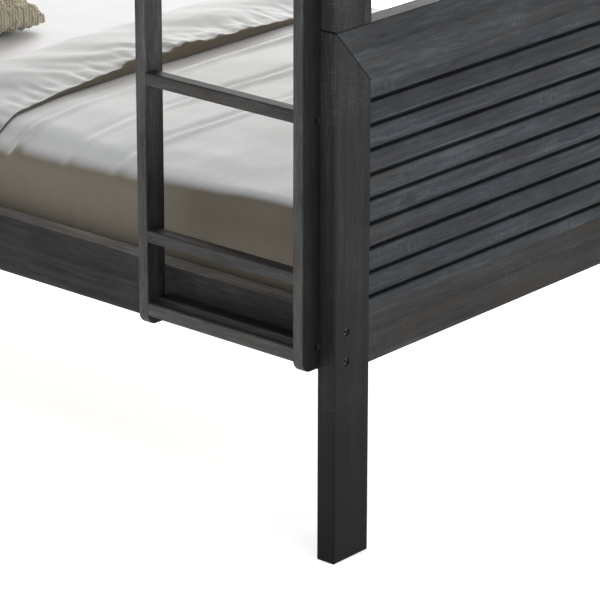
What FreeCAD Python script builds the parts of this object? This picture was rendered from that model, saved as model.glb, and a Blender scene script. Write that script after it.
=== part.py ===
import FreeCAD, Part
import os

# Bunk bed with a vertical ladder, in millimetres.
# X runs along the bed (the foot end, with the ladder, is at +X), the ladder side faces -Y, Z is up.
# The origin is the centre of the bounding box's bottom face, on the floor.

Vector = FreeCAD.Vector
os.makedirs("parts", exist_ok=True)

# ---- mattress: the size that the whole bed is built around ----
mattress_length = 1890.0
mattress_width = 970.0
mattress_height = 165.0
mattress_edge_radius = 22.0
mattress_end_gap = 15.0
mattress_side_gap = 15.0

# ---- end frames ----
bunk_height = 850.0
post_thickness = 35.0
post_width = 80.0
post_edge_radius = 3.0
post_foot_chamfer = 1.5
top_rail_depth = 88.0
end_rail_bottom = 312.0
end_rail_depth = 84.0
end_rail_edge_radius = 2.5
mitre_gap = 0.6
mitre_dowel_share = 0.62

# ---- boards that fill the end frames ----
board_pitch = 38.85
board_channel = 6.5
board_channel_depth = 8.0
board_back_thickness = 9.6
board_edge_radius = 2.6
first_channel_drop = 32.4
panel_groove_depth = 9.0
panel_groove_clearance = 0.2
board_tongue_clearance = 0.5

# ---- side rails, ledges and slats ----
side_rail_bottom = 309.0
side_rail_height = 98.0
side_rail_thickness = 32.0
side_rail_recess = 12.0
side_rail_edge_radius = 2.5
ledge_depth = 22.0
ledge_height = 24.0
ledge_end_gap = 75.0
slat_width = 68.0
slat_thickness = 18.0
slat_count = 13
slat_edge_radius = 2.0
slat_end_clearance = 1.0
first_slat_inset = 40.0

# ---- hardware ----
bolt_heights = (19.4, 67.4)
bolt_radius = 4.0
bolt_hole_clearance = 0.25
bolt_head_radius = 6.0
bolt_head_height = 7.0
counterbore_clearance = 0.5
counterbore_depth = 10.0
bolt_socket_width = 5.0
bolt_socket_depth = 4.0
bolt_end_margin = 10.0
barrel_nut_radius = 5.0
barrel_nut_hole_clearance = 0.2
barrel_nut_inset = 45.0
barrel_nut_end_gap = 3.0
barrel_nut_bore_clearance = 0.1
frame_dowel_radius = 5.0
frame_dowel_length = 60.0
frame_dowel_clearance = 0.1
seam_dowel_radius = 6.0
seam_dowel_length = 70.0
seam_dowel_clearance = 0.4
seam_dowel_end_gap = 1.0
seam_gap = 0.5

# ---- guard rails of the upper bunk ----
guard_bar_height = 70.0
guard_bar_thickness = 18.0
guard_bar_setback = 6.0
guard_bar_rises = (113.0, 243.0)
guard_upright_width = 50.0
guard_upright_thickness = 20.0
guard_edge_radius = 3.0
guard_upright_ladder_gap = 35.0
guard_screw_radius = 2.5
guard_screw_head_radius = 5.0
guard_screw_length = 34.0
guard_screw_hole_clearance = 0.1
guard_screw_head_height = 3.0
guard_screw_head_sink = 1.0
guard_screw_end_gap = 0.5

# ---- ladder ----
ladder_rail_width = 20.0
ladder_rail_depth = 40.0
ladder_clear_width = 299.0
ladder_foot_inset = 29.6
ladder_bottom = 319.0
ladder_foot_radius = 20.0
ladder_edge_radius = 2.5
ladder_top_above_upper_rail = 313.0
ladder_gap = 0.3
rung_pitch = 254.0
first_rung_height = 457.5
rung_height = 20.5
rung_depth = 25.0
rung_front_setback = 1.0
rung_edge_radius = 3.5
rung_housing = 8.0
foot_rung_bottom = 336.0
foot_rung_height = 22.0
foot_rung_depth = 14.0
cleat_above_rail_bottom = 17.0
cleat_height = 35.0
cleat_front_reach = 13.6
cleat_end_housing = 6.0
cleat_edge_radius = 2.0
pocket_radius = 6.0
pocket_depth = 5.0
pocket_heights = (354.0, 713.0)
pocket_back_offset = 7.0
hook_thickness = 4.0
hook_plate_low = 11.0
hook_plate_high = 43.0
hook_arm_height = 18.0
hook_tooth_length = 32.0
hook_tooth_thickness = 5.0
hook_clearance = 0.4
hook_plate_setback = 6.0
hook_screw_radius = 2.5
hook_screw_hole_clearance = 0.1
hook_screw_end_gap = 0.5
hook_screw_head_radius = 4.5
hook_screw_head_height = 2.5
hook_screw_length = 18.0
hook_screw_rises = (10.0, 32.0)

# ---- bedding ----
soft_clearance = 0.3
duvet_side_thickness = 9.0
duvet_top_thickness = 29.0
duvet_tuck_below_rail = 15.0
duvet_top_radius = 26.0
fold_front_from_foot = 800.0
fold_width = 185.0
fold_thickness = 28.0
pillow_length = 380.0
pillow_width = 660.0
pillow_height = 120.0
pillow_head_gap = 12.0
knit_cushion_size = 370.0
knit_cushion_height = 105.0
knit_cushion_from_foot = 1375.0
knit_cushion_from_front = 398.0
pillow_edge_share = 0.45
fold_edge_share = 0.8

# ---- what follows from them ----
inside_length = mattress_length + 2 * mattress_end_gap
inside_width = mattress_width + 2 * mattress_side_gap
half_length = inside_length / 2 + post_thickness
overall_width = inside_width + 2 * (side_rail_recess + side_rail_thickness)
ladder_proud = ladder_rail_depth + ladder_gap
front_y = ladder_proud / 2 - overall_width / 2
rear_y = front_y + overall_width
middle_y = (front_y + rear_y) / 2
post_inner_x = half_length - post_thickness
rail_face_y = front_y + side_rail_recess
rail_back_y = rail_face_y + side_rail_thickness
rail_top = side_rail_bottom + side_rail_height
bolt_y = (rail_face_y + rail_back_y) / 2
ledge_top = side_rail_bottom + ledge_height
slat_top = ledge_top + slat_thickness
mattress_bottom = slat_top + soft_clearance
mattress_top = mattress_bottom + mattress_height
panel_top = bunk_height - top_rail_depth
panel_bottom = end_rail_bottom + end_rail_depth
board_face_x = half_length
bolt_hole_radius = bolt_radius + bolt_hole_clearance
counterbore_radius = bolt_head_radius + counterbore_clearance
barrel_nut_hole_radius = barrel_nut_radius + barrel_nut_hole_clearance
hook_screw_hole_radius = hook_screw_radius + hook_screw_hole_clearance
channel_back_x = board_face_x - board_channel_depth
upper_rail_top = bunk_height + rail_top


def block(xs, ys, zs):
    """Box between the low and high values of each axis."""
    return Part.makeBox(xs[1] - xs[0], ys[1] - ys[0], zs[1] - zs[0], Vector(xs[0], ys[0], zs[0]))


def rod(start, direction, radius, length):
    """Cylinder from start along direction."""
    return Part.makeCylinder(radius, length, Vector(*start), Vector(*direction))


def straight_along(edge, axis):
    """True when the edge is straight and parallel to axis (0, 1 or 2)."""
    first, last = edge.Vertexes[0].Point, edge.Vertexes[-1].Point
    run = last - first
    return abs(abs(run[axis]) - run.Length) < 1e-6 and run.Length > 1e-6


def eased(shape, radius, axis, where=lambda centre: True):
    """Round the straight edges along one axis whose centres pass the test."""
    edges = [e for e in shape.Edges if straight_along(e, axis) and where(e.CenterOfMass)]
    return shape.makeFillet(radius, edges)


def prism_yz(points, xs):
    """Polygon in the YZ plane, carried along X."""
    corners = [Vector(xs[0], y, z) for y, z in points]
    face = Part.Face(Part.makePolygon(corners + corners[:1]))
    return face.extrude(Vector(xs[1] - xs[0], 0, 0))


def to_rear(shape):
    """The same piece on the other long side."""
    return shape.mirror(Vector(0, middle_y, 0), Vector(0, 1, 0))


def to_head(shape):
    """The same piece at the other end."""
    return shape.mirror(Vector(0, 0, 0), Vector(1, 0, 0))


def raised(shape, height):
    """The same piece, higher up."""
    copy = shape.copy()
    copy.translate(Vector(0, 0, height))
    return copy


def both_sides(shapes):
    """A list of front pieces with their rear twins."""
    return shapes + [to_rear(shape) for shape in shapes]


def both_ends(shapes):
    """A list of foot pieces with their head twins."""
    return shapes + [to_head(shape) for shape in shapes]


def cut_all(shape, tools):
    """Shape with every tool taken out of it."""
    return shape.cut(tools) if tools else shape


def save(name, shape):
    """Write one node: a solid, or a group of solids when a list is given."""
    group = Part.makeCompound(shape) if isinstance(shape, list) else shape
    group.exportStep(f"parts/{name}.step")


# ---- end frame, drawn once at the foot end of the lower bunk ----

def frame_dowel_places():
    """Start points of the dowels that join the rails to the front post, running along Y."""
    centre_x = half_length - post_thickness / 2
    joint_y = front_y + post_width
    start_y = joint_y - frame_dowel_length / 2
    low = end_rail_bottom + end_rail_depth / 4
    high = end_rail_bottom + 3 * end_rail_depth / 4
    mitre_z = bunk_height - mitre_dowel_share * top_rail_depth
    mitre_start = front_y + mitre_dowel_share * post_width - frame_dowel_length / 2
    return [(centre_x, start_y, low), (centre_x, start_y, high), (centre_x, mitre_start, mitre_z)]


def frame_dowels(clearance=0.0):
    """Dowels, or with a clearance their holes, at both sides of the foot frame."""
    rods = []
    for x, y, z in frame_dowel_places():
        start = (x, y - clearance, z)
        rods.append(rod(start, (0, 1, 0), frame_dowel_radius + clearance, frame_dowel_length + 2 * clearance))
    return both_sides(rods)


def seam_dowel(radius, low, high):
    """Dowel between the stacked end frames, at the middle of the front post."""
    centre = (half_length - post_thickness / 2, front_y + post_width / 2)
    return rod((centre[0], centre[1], low), (0, 0, 1), radius, high - low)


def end_outline():
    """Outside of a whole end frame, with its upright corners rounded."""
    solid = block((post_inner_x, half_length), (front_y, rear_y), (0, bunk_height))
    return eased(solid, post_edge_radius, 2)


def panel_groove():
    """Groove round the inside of the frame that holds the boards' edges."""
    back_x = channel_back_x - board_back_thickness
    xs = (back_x - panel_groove_clearance, channel_back_x + panel_groove_clearance)
    ys = (front_y + post_width - panel_groove_depth, rear_y - post_width + panel_groove_depth)
    return block(xs, ys, (panel_bottom - panel_groove_depth, panel_top + panel_groove_depth))


def side_rail_bolt_hole(height):
    """Clearance hole with its counterbore, from the outer end face into the side rail."""
    z = side_rail_bottom + height
    depth = post_thickness + barrel_nut_inset + bolt_end_margin + barrel_nut_radius
    hole = rod((half_length, bolt_y, z), (-1, 0, 0), bolt_hole_radius, depth)
    bore = rod((half_length, bolt_y, z), (-1, 0, 0), counterbore_radius, counterbore_depth)
    return hole.fuse(bore)


def front_post(outline, tools):
    """Leg and stile in one piece: its head is mitred to meet the top rail."""
    ys = (front_y, front_y + post_width)
    stock = block((post_inner_x, half_length), ys, (0, bunk_height))
    stock = stock.makeChamfer(post_foot_chamfer, [e for e in stock.Edges if e.BoundBox.ZMax < post_foot_chamfer])
    stock = stock.common(outline)
    above = 1.0
    waste = [
        (front_y, bunk_height - mitre_gap),
        (front_y + post_width, panel_top - mitre_gap),
        (front_y + post_width + above, panel_top - mitre_gap),
        (front_y + post_width + above, bunk_height + above),
        (front_y - above, bunk_height + above),
        (front_y - above, bunk_height - mitre_gap),
    ]
    mitre = prism_yz(waste, (post_inner_x - above, half_length + above))
    return cut_all(stock, [mitre] + tools)


def top_rail(outline, tools):
    """Top rail between the mitres, its two long top edges rounded."""
    corners = [
        (front_y, bunk_height),
        (rear_y, bunk_height),
        (rear_y - post_width, panel_top),
        (front_y + post_width, panel_top),
    ]
    stock = prism_yz(corners, (post_inner_x, half_length))
    stock = eased(stock, end_rail_edge_radius, 1, lambda centre: centre.z > bunk_height - 1)
    return cut_all(stock.common(outline), tools)


def bottom_rail(tools):
    """Bottom rail between the posts."""
    ys = (front_y + post_width, rear_y - post_width)
    stock = block((post_inner_x, half_length), ys, (end_rail_bottom, panel_bottom))
    stock = eased(stock, end_rail_edge_radius, 1, lambda centre: centre.z < end_rail_bottom + 1)
    return cut_all(stock, tools)


def board(low, high, open_low, open_high):
    """One rebated board; a shadow channel opens at each edge that meets another board."""
    front_low = low + board_channel / 2 if open_low else low
    front_high = high - board_channel / 2 if open_high else high
    back_low = low + panel_groove_clearance if open_low else low - panel_groove_depth + board_tongue_clearance
    back_high = high if open_high else high + panel_groove_depth - board_tongue_clearance
    reach = panel_groove_depth - board_tongue_clearance
    face_ys = (front_y + post_width, rear_y - post_width)
    back_ys = (face_ys[0] - reach, face_ys[1] + reach)
    face = block((channel_back_x, board_face_x), face_ys, (front_low, front_high))
    rounded = [z for z, is_open in ((front_low, open_low), (front_high, open_high)) if is_open]
    face = eased(face, board_edge_radius, 1,
                 lambda centre: centre.x > board_face_x - 1 and any(abs(centre.z - z) < 1 for z in rounded))
    back = block((channel_back_x - board_back_thickness, channel_back_x), back_ys, (back_low, back_high))
    return face.fuse(back).removeSplitter()


def panel_boards():
    """All the boards of the foot frame, from the top rail down to the bottom rail."""
    boards = []
    high = panel_top
    low = panel_top - first_channel_drop
    open_high = False
    while high > panel_bottom:
        is_last = low - board_channel < panel_bottom
        bottom = panel_bottom if is_last else low
        boards.append(board(bottom, high, not is_last, open_high))
        high = panel_bottom if is_last else low
        low = high - board_pitch
        open_high = True
    return boards


def side_rail(tools):
    """Front side rail between the posts."""
    stock = block((-post_inner_x, post_inner_x), (rail_face_y, rail_back_y), (side_rail_bottom, rail_top))
    stock = eased(stock, side_rail_edge_radius, 0)
    return cut_all(stock, both_ends(tools))


def barrel_nut(height, radius, length):
    """Barrel nut, or its hole out through the rail's back, across the side rail."""
    start = (post_inner_x - barrel_nut_inset, rail_face_y + barrel_nut_end_gap, side_rail_bottom + height)
    return rod(start, (0, 1, 0), radius, length)


def bolt(height):
    """Cap bolt from the counterbore through the post into the barrel nut."""
    z = side_rail_bottom + height
    seat_x = half_length - counterbore_depth
    tip_x = post_inner_x - barrel_nut_inset - barrel_nut_radius - bolt_end_margin
    head = rod((seat_x, bolt_y, z), (1, 0, 0), bolt_head_radius, bolt_head_height)
    shank = rod((tip_x, bolt_y, z), (1, 0, 0), bolt_radius, seat_x - tip_x)
    socket_x = seat_x + bolt_head_height - bolt_socket_depth
    socket = rod((socket_x, bolt_y, z), (1, 0, 0), bolt_socket_width / 2, bolt_socket_depth)
    return head.fuse(shank).cut(socket)


def slats():
    """Row of slats across the two ledges."""
    reach = post_inner_x - first_slat_inset - slat_width / 2
    step = 2 * reach / (slat_count - 1)
    ys = (rail_back_y + slat_end_clearance, 2 * middle_y - rail_back_y - slat_end_clearance)
    row = []
    for index in range(slat_count):
        centre = -reach + index * step
        xs = (centre - slat_width / 2, centre + slat_width / 2)
        row.append(eased(block(xs, ys, (ledge_top, slat_top)), slat_edge_radius, 1))
    return row


def bunk_frame(prefix, height, seam_holes, seam_low_clearance):
    """Write every wooden and metal piece of one bunk, lifted to its height."""
    groove = panel_groove()
    bolt_holes = [side_rail_bolt_hole(h) for h in bolt_heights]
    dowel_holes = frame_dowels(frame_dowel_clearance)
    outline = end_outline()
    post = front_post(outline, [groove] + bolt_holes + dowel_holes + seam_holes)
    if seam_low_clearance:
        ys = (front_y, front_y + post_width)
        post = post.cut(block((post_inner_x, half_length), ys, (0, seam_low_clearance)))
    rail = top_rail(outline, [groove] + dowel_holes + both_sides(seam_holes))
    low_rail = bottom_rail([groove] + dowel_holes)
    boards = panel_boards()
    ends = (("foot", lambda shape: shape), ("head", to_head))
    for end, place in ends:
        save(f"{prefix}_{end}_post_front", raised(place(post), height))
        save(f"{prefix}_{end}_post_rear", raised(place(to_rear(post)), height))
        save(f"{prefix}_{end}_top_rail", raised(place(rail), height))
        save(f"{prefix}_{end}_bottom_rail", raised(place(low_rail), height))
        save(f"{prefix}_{end}_boards", [raised(place(b), height) for b in boards])
    save(f"{prefix}_frame_dowels", [raised(d, height) for d in both_ends(frame_dowels())])

    nut_start_y = rail_face_y + barrel_nut_end_gap
    nut_length = rail_back_y - barrel_nut_end_gap - nut_start_y
    nut_holes = [barrel_nut(h, barrel_nut_hole_radius, nut_length + barrel_nut_end_gap) for h in bolt_heights]
    long_rail = side_rail(bolt_holes + nut_holes)
    save(f"{prefix}_side_rail_front", raised(long_rail, height))
    save(f"{prefix}_side_rail_rear", raised(to_rear(long_rail), height))
    bolts = both_ends(both_sides([bolt(h) for h in bolt_heights]))
    save(f"{prefix}_rail_bolts", [raised(b, height) for b in bolts])
    nuts = []
    for h in bolt_heights:
        body = barrel_nut(h, barrel_nut_radius, nut_length)
        thread_z = side_rail_bottom + h
        thread = rod((0, bolt_y, thread_z), (1, 0, 0), bolt_radius + barrel_nut_bore_clearance, half_length)
        nuts.append(body.cut(thread))
    save(f"{prefix}_barrel_nuts", [raised(n, height) for n in both_ends(both_sides(nuts))])

    ledge_xs = (-post_inner_x + ledge_end_gap, post_inner_x - ledge_end_gap)
    ledge = block(ledge_xs, (rail_back_y, rail_back_y + ledge_depth), (side_rail_bottom, ledge_top))
    save(f"{prefix}_slat_ledges", [raised(piece, height) for piece in both_sides([ledge])])
    save(f"{prefix}_slats", [raised(s, height) for s in slats()])


def guard_rails():
    """Bars and uprights that keep the upper sleeper in."""
    bar_ys = (front_y + guard_bar_setback, front_y + guard_bar_setback + guard_bar_thickness)
    upright_ys = (bar_ys[1], bar_ys[1] + guard_upright_thickness)
    ladder_side_x = half_length - ladder_foot_inset - ladder_rail_width - ladder_clear_width
    names = ("lower", "upper")
    bars = [(upper_rail_top + rise, upper_rail_top + rise + guard_bar_height) for rise in guard_bar_rises]
    top = bars[-1][1]
    front_end_x = ladder_side_x - ladder_rail_width - guard_upright_ladder_gap
    quarter = (post_inner_x - guard_upright_width) / 2
    front_centres = [-post_inner_x + guard_upright_width, -quarter / 2, front_end_x]
    rear_centres = [-post_inner_x + guard_upright_width, 0.0, post_inner_x - guard_upright_width]

    def screw(centre, bar):
        z = (bar[0] + bar[1]) / 2
        start = (centre, bar_ys[0] + guard_screw_head_sink, z)
        shank = rod(start, (0, 1, 0), guard_screw_radius, guard_screw_length)
        head = rod(start, (0, 1, 0), guard_screw_head_radius, guard_screw_head_height)
        return head.fuse(shank)

    def screw_hole(centre, bar):
        z = (bar[0] + bar[1]) / 2
        start = (centre, bar_ys[0], z)
        shank_depth = guard_screw_head_sink + guard_screw_length + guard_screw_end_gap
        head_depth = guard_screw_head_sink + guard_screw_head_height
        shank = rod(start, (0, 1, 0), guard_screw_radius + guard_screw_hole_clearance, shank_depth)
        head = rod(start, (0, 1, 0), guard_screw_head_radius + guard_screw_hole_clearance, head_depth)
        return head.fuse(shank)

    front_holes = [screw_hole(c, bar) for c in front_centres for bar in bars]
    rear_holes = [to_rear(screw_hole(c, bar)) for c in rear_centres for bar in bars]
    for name, bar in zip(names, bars):
        front_bar = eased(block((-post_inner_x, ladder_side_x), bar_ys, bar), guard_edge_radius, 0)
        rear_bar = eased(block((-post_inner_x, post_inner_x), bar_ys, bar), guard_edge_radius, 0)
        save(f"guard_front_{name}_bar", cut_all(front_bar, front_holes))
        save(f"guard_rear_{name}_bar", cut_all(to_rear(rear_bar), rear_holes))

    def upright(centre):
        xs = (centre - guard_upright_width / 2, centre + guard_upright_width / 2)
        return eased(block(xs, upright_ys, (upper_rail_top, top)), guard_edge_radius, 2)

    uprights = [cut_all(upright(c), front_holes) for c in front_centres]
    uprights += [cut_all(to_rear(upright(c)), rear_holes) for c in rear_centres]
    save("guard_uprights", uprights)
    screws = [screw(c, bar) for c in front_centres for bar in bars]
    screws += [to_rear(screw(c, bar)) for c in rear_centres for bar in bars]
    save("guard_screws", screws)


def ladder():
    """Two rails, the rungs housed in them, the stand-off cleats and the hooks."""
    back_y = front_y - ladder_gap
    ys = (back_y - ladder_rail_depth, back_y)
    outer_right = half_length - ladder_foot_inset
    inner_right = outer_right - ladder_rail_width
    inner_left = inner_right - ladder_clear_width
    outer_left = inner_left - ladder_rail_width
    top = upper_rail_top + ladder_top_above_upper_rail
    rung_front = ys[0] + rung_front_setback

    def rung(low, height, depth):
        xs = (inner_left - rung_housing, inner_right + rung_housing)
        return eased(block(xs, (rung_front, rung_front + depth), (low, low + height)), rung_edge_radius, 0)

    foot_rung = rung(foot_rung_bottom, foot_rung_height, foot_rung_depth)
    rungs = []
    low = first_rung_height
    while low + rung_height < upper_rail_top - hook_plate_low:
        rungs.append(rung(low, rung_height, rung_depth))
        low += rung_pitch

    cleat_ys = (back_y - cleat_front_reach, rail_face_y - ladder_gap)

    def cleat(rail_bottom):
        low = rail_bottom + cleat_above_rail_bottom
        xs = (inner_left, inner_right)
        stock = block(xs, cleat_ys, (low, low + cleat_height))
        return eased(stock, cleat_edge_radius, 0)

    lower_cleat = cleat(side_rail_bottom)
    upper_cleat = cleat(bunk_height + side_rail_bottom)

    screw_y = (ys[0] + back_y) / 2
    screw_heights = [upper_rail_top - hook_plate_low + rise for rise in hook_screw_rises]

    def rail(xs, outer_x, towards_inside):
        stock = block(xs, ys, (ladder_bottom, top))
        stock = eased(stock, ladder_foot_radius, 0,
                      lambda c: c.z < ladder_bottom + 1 and c.y < ys[0] + 1)
        stock = eased(stock, ladder_edge_radius, 2, lambda c: c.y < ys[0] + 1)
        pocket_y = back_y - pocket_back_offset
        pockets = [rod((outer_x, pocket_y, z), (towards_inside, 0, 0), pocket_radius, pocket_depth)
                   for z in pocket_heights]
        inner_x = sum(xs) - outer_x
        pilot_depth = hook_screw_length - hook_thickness + hook_screw_end_gap
        pilots = [rod((inner_x, screw_y, z), (-towards_inside, 0, 0), hook_screw_hole_radius, pilot_depth)
                  for z in screw_heights]
        return cut_all(stock, [foot_rung] + rungs + pockets + pilots)

    save("ladder_rail_right", rail((inner_right, outer_right), outer_right, -1))
    save("ladder_rail_left", rail((outer_left, inner_left), outer_left, 1))
    save("ladder_foot_rung", foot_rung)
    for number, piece in enumerate(rungs, start=1):
        save(f"ladder_rung_{number}", piece)
    save("ladder_lower_cleat", lower_cleat)
    save("ladder_upper_cleat", upper_cleat)

    plate_low = upper_rail_top - hook_plate_low
    plate_high = upper_rail_top + hook_plate_high
    arm_low = upper_rail_top + hook_clearance
    tooth_front = rail_back_y + hook_clearance
    profile = [
        (ys[0] + hook_plate_setback, plate_low),
        (back_y, plate_low),
        (back_y, arm_low),
        (tooth_front, arm_low),
        (tooth_front, upper_rail_top - hook_tooth_length),
        (tooth_front + hook_tooth_thickness, upper_rail_top - hook_tooth_length),
        (tooth_front + hook_tooth_thickness, arm_low + hook_arm_height),
        (back_y, arm_low + hook_arm_height),
        (ys[0] + hook_plate_setback, plate_high),
    ]
    hooks = []
    screws = []
    for plate_x, outward in ((inner_left, 1), (inner_right, -1)):
        face_x = plate_x + outward * hook_thickness
        plate = prism_yz(profile, (min(plate_x, face_x), max(plate_x, face_x)))
        inward = (-outward, 0, 0)
        for z in screw_heights:
            face = (face_x, screw_y, z)
            plate = plate.cut(rod(face, inward, hook_screw_hole_radius, hook_thickness))
            head = rod(face, (outward, 0, 0), hook_screw_head_radius, hook_screw_head_height)
            shank = rod(face, inward, hook_screw_radius, hook_screw_length)
            screws.append(head.fuse(shank))
        hooks.append(plate)
    save("ladder_hooks", hooks)
    save("ladder_hook_screws", screws)


def bedding(prefix, height, with_knit_cushion):
    """Mattress, duvet and pillow of one bunk."""
    half_mattress = mattress_length / 2
    ys = (middle_y - mattress_width / 2, middle_y + mattress_width / 2)
    mattress = block((-half_mattress, half_mattress), ys, (mattress_bottom, mattress_top))
    mattress = mattress.makeFillet(mattress_edge_radius, mattress.Edges)
    save(f"{prefix}_mattress", raised(mattress, height))

    tuck = rail_top - duvet_tuck_below_rail
    duvet_top = mattress_top + duvet_top_thickness
    fold_front_x = half_length - fold_front_from_foot
    fold_head_x = fold_front_x - fold_width
    side = duvet_side_thickness + soft_clearance
    outer = block((fold_head_x, half_mattress + side), (ys[0] - side, ys[1] + side), (tuck, duvet_top))
    outer = eased(outer, duvet_top_radius, 0, lambda c: c.z > tuck + 1)
    core = block((fold_head_x - 1, half_mattress + soft_clearance),
                 (ys[0] - soft_clearance, ys[1] + soft_clearance), (tuck - 1, mattress_top + soft_clearance))
    fold_ys = (ys[0] + duvet_top_radius, ys[1] - duvet_top_radius)
    fold = block((fold_head_x, fold_front_x), fold_ys, (duvet_top - 1, duvet_top + fold_thickness))
    fold = eased(fold, fold_thickness * fold_edge_share, 0, lambda c: c.z > duvet_top)
    save(f"{prefix}_duvet", raised(outer.cut(core).fuse(fold).removeSplitter(), height))

    def cushion(xs, cushion_ys, thickness):
        low = mattress_top + soft_clearance
        stock = block(xs, cushion_ys, (low, low + thickness))
        return stock.makeFillet(thickness * pillow_edge_share, stock.Edges)

    head_x = -post_inner_x + pillow_head_gap
    pillow_ys = (middle_y - pillow_width / 2, middle_y + pillow_width / 2)
    pillow = cushion((head_x, head_x + pillow_length), pillow_ys, pillow_height)
    save(f"{prefix}_pillow", raised(pillow, height))
    if with_knit_cushion:
        centre_x = half_length - knit_cushion_from_foot
        centre_y = front_y + knit_cushion_from_front
        half = knit_cushion_size / 2
        knit_xs = (centre_x - half, centre_x + half)
        knit = cushion(knit_xs, (centre_y - half, centre_y + half), knit_cushion_height)
        save("knit_cushion", raised(knit, height))


dowel_reach = seam_dowel_length / 2
tight_radius = seam_dowel_radius + frame_dowel_clearance
loose_radius = seam_dowel_radius + seam_dowel_clearance
lower_holes = [seam_dowel(tight_radius, bunk_height - dowel_reach, bunk_height)]
upper_holes = [seam_dowel(loose_radius, 0, dowel_reach + seam_dowel_end_gap)]
bunk_frame("lower", 0.0, lower_holes, 0.0)
bunk_frame("upper", bunk_height, upper_holes, seam_gap)
pin = seam_dowel(seam_dowel_radius, bunk_height - dowel_reach, bunk_height + dowel_reach)
save("seam_dowels", both_ends(both_sides([pin])))
guard_rails()
ladder()
bedding("lower", 0.0, True)
bedding("upper", bunk_height, False)
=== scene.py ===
"""Looks of a bunk bed with a hook-on ladder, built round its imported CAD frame. All lengths are in metres."""
import logging
import math
from collections.abc import Callable
from dataclasses import dataclass
from enum import Enum
from functools import partial
from typing import Any

import bmesh
import bpy
from bmesh.types import BMesh
from bpy.types import Material, Node, NodeSocket, NodeTree, Object
from mathutils import Euler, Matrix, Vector, noise


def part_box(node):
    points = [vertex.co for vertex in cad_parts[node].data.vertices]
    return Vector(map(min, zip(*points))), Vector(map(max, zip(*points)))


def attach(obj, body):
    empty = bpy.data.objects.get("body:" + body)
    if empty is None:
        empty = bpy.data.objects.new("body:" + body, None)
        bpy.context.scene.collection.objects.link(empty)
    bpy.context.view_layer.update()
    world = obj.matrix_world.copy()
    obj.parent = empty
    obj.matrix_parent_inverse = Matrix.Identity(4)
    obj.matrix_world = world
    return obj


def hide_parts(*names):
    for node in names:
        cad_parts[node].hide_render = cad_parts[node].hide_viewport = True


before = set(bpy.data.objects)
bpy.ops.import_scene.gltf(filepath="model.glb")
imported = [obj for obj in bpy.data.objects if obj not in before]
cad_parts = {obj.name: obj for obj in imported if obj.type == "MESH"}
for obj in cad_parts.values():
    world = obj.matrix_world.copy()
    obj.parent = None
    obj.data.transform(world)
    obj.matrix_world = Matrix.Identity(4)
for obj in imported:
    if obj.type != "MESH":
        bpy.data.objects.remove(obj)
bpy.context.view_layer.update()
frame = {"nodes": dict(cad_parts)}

logging.basicConfig(level=logging.INFO, format="%(message)s")
log = logging.getLogger("bunk_bed")
MM = 0.001
Place = Callable[[Vector], Vector]
Wrinkles = tuple[tuple[float, tuple[float, float, float], float], ...]
Source = Node | NodeSocket
Adder = Callable[..., Node]


# ---------------------------------------------------------------- colour and node helpers

def linear(code: str) -> tuple[float, float, float, float]:
    """Turn an sRGB hex colour into a linear one.

    Args:
        code: Six hex digits after a hash sign.

    Returns:
        Linear red, green, blue and an alpha of 1.
    """
    parts = [int(code[i:i + 2], 16) / 255 for i in (1, 3, 5)]
    red, green, blue = (c / 12.92 if c <= 0.04045 else ((c + 0.055) / 1.055) ** 2.4 for c in parts)
    return red, green, blue, 1.0


def add_node(tree: NodeTree, kind: str, settings: dict[Any, Any] | None = None,
             links: dict[Any, Source] | None = None) -> Node:
    """Add one node with its settings and links.

    Args:
        tree: The node tree to add to.
        kind: The node's Blender type, without "ShaderNode" before it.
        settings: Sockets by number or capitalised name, properties by their lower-case name, and
            "stops" for the positions and hex colours of a colour ramp.
        links: Sources by the number or name of the socket that they feed. A node stands for its first
            output.

    Returns:
        The new node.
    """
    node = tree.nodes.new("ShaderNode" + kind)
    for key, value in (settings or {}).items():
        if key == "stops":
            elements = node.color_ramp.elements
            while len(elements) < len(value):
                elements.new(0.5)
            for element, (position, code) in zip(elements, value):
                element.position = position
                element.color = linear(code)
        elif isinstance(key, int) or key[0].isupper():
            node.inputs[key].default_value = value
        else:
            setattr(node, key, value)
    for key, source in (links or {}).items():
        tree.links.new(source.outputs[0] if isinstance(source, Node) else source, node.inputs[key])
    return node


def fresh_material(name: str) -> tuple[Material, Adder, NodeSocket]:
    """Make an empty node material.

    Args:
        name: The material's name.

    Returns:
        The material, add_node for its tree, and the socket of its Object coordinates.
    """
    material = bpy.data.materials.new(name)
    material.use_nodes = True
    material.node_tree.nodes.clear()
    add = partial(add_node, material.node_tree)
    return material, add, add("TexCoord").outputs["Object"]


def dress(piece: Object, material: Material) -> None:
    """Give a piece one material in its only slot."""
    piece.data.materials.clear()
    piece.data.materials.append(material)


# ---------------------------------------------------------------- finishes

WAVE_TURN = 6.283  # the wave texture counts its bands in radians
BOARD_SHIFT = 3.0  # how far apart along the plank two boards may be cut, in metres


class Grain(Enum):
    """The axis that the wood's fibres run along, with the two axes across them."""
    ALONG_BED = (0, 1, 2)
    ACROSS_BED = (1, 0, 2)
    UPRIGHT = (2, 0, 1)


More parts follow.
